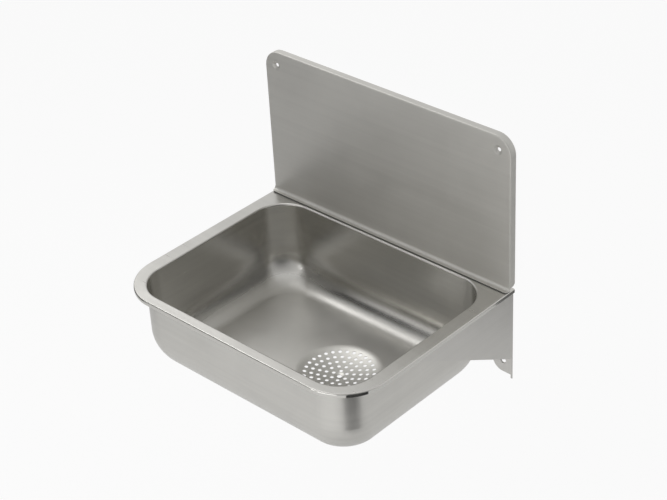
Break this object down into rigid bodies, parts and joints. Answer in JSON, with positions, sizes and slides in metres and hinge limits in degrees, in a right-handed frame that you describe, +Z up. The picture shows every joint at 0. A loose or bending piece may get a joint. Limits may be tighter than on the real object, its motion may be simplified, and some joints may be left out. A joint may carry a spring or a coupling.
{
  "type": "slop sink",
  "caption": "Wall-hung slop sink of stainless sheet with a rounded bowl, a perforated strainer in its floor, a folded splashback and wall brackets with screw holes.",
  "frame": {"origin": "on the wall plane, at mid width, at the height of the deck's top", "axes": "+X to the right along the wall, +Y into the wall, so the sink stands out towards -Y, and +Z up"},
  "size_m": [0.5, 0.38, 0.436],
  "materials": {
    "stainless_sheet": "satin, with a finer polish inside the bowl",
    "stainless_plate": "satin",
    "stainless_fixings": "bright",
    "seal_rubber": "matte"
  },
  "bodies": {
    "root": {"basin": "stainless_sheet", "splashback": "stainless_sheet", "bracket_left": "stainless_plate", "bracket_right": "stainless_plate", "foot_gasket": "seal_rubber", "foot_studs": "stainless_fixings", "foot_washers": "stainless_fixings", "foot_nuts": "stainless_fixings"}
  },
  "joints": []
}
